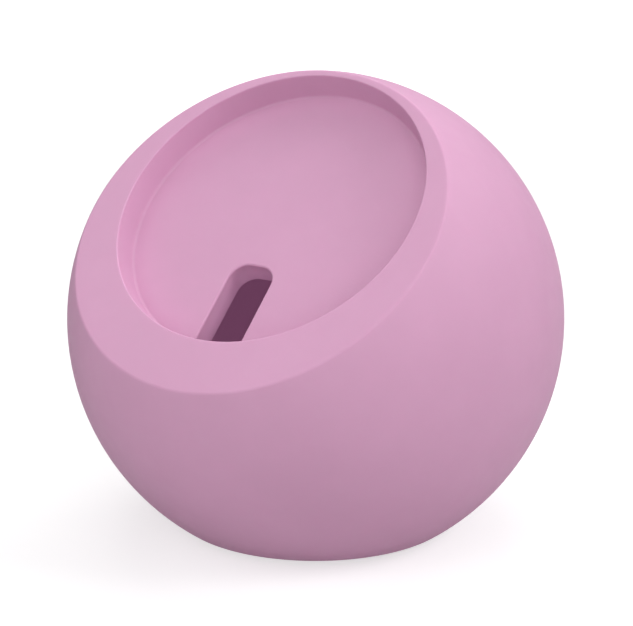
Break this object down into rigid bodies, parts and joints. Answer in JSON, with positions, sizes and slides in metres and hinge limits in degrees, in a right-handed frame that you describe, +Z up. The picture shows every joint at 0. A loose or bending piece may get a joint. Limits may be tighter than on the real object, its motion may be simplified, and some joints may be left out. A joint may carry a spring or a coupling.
{
  "type": "ball-shaped charging puck stand",
  "caption": "Soft silicone ball with a slanting face, a round recess and lead slot for a magnetic charging puck, on a weighted base plug.",
  "frame": {"origin": "centre of the underside of the foot pad, on the surface that the stand rests on, under the centre of the ball", "axes": "+Z up; the slanting face leans back from -Y, the side that the user sits at; +X to the user's right"},
  "size_m": [0.088, 0.088, 0.0803],
  "materials": {
    "pink_silicone": "fine matte, soft to the touch",
    "pink_plastic": "fine moulded texture",
    "weight_steel": "turned, bare",
    "screw_zinc": "zinc plated",
    "adhesive_film": "milky film",
    "pad_rubber": "fine grained, non-slip"
  },
  "bodies": {
    "base": {"foot_pad": "pad_rubber", "pad_adhesive": "adhesive_film", "base_plate": "pink_plastic", "counterweight": "weight_steel", "weight_screw_1": "screw_zinc", "weight_screw_2": "screw_zinc", "weight_screw_3": "screw_zinc"},
    "ball": {"silicone_ball": "pink_silicone"}
  },
  "joints": [
    {"name": "ball_lift", "type": "slide", "parent": "base", "child": "ball", "axis": [0, 0, 1], "range_m": [0, 0.03]}
  ]
}
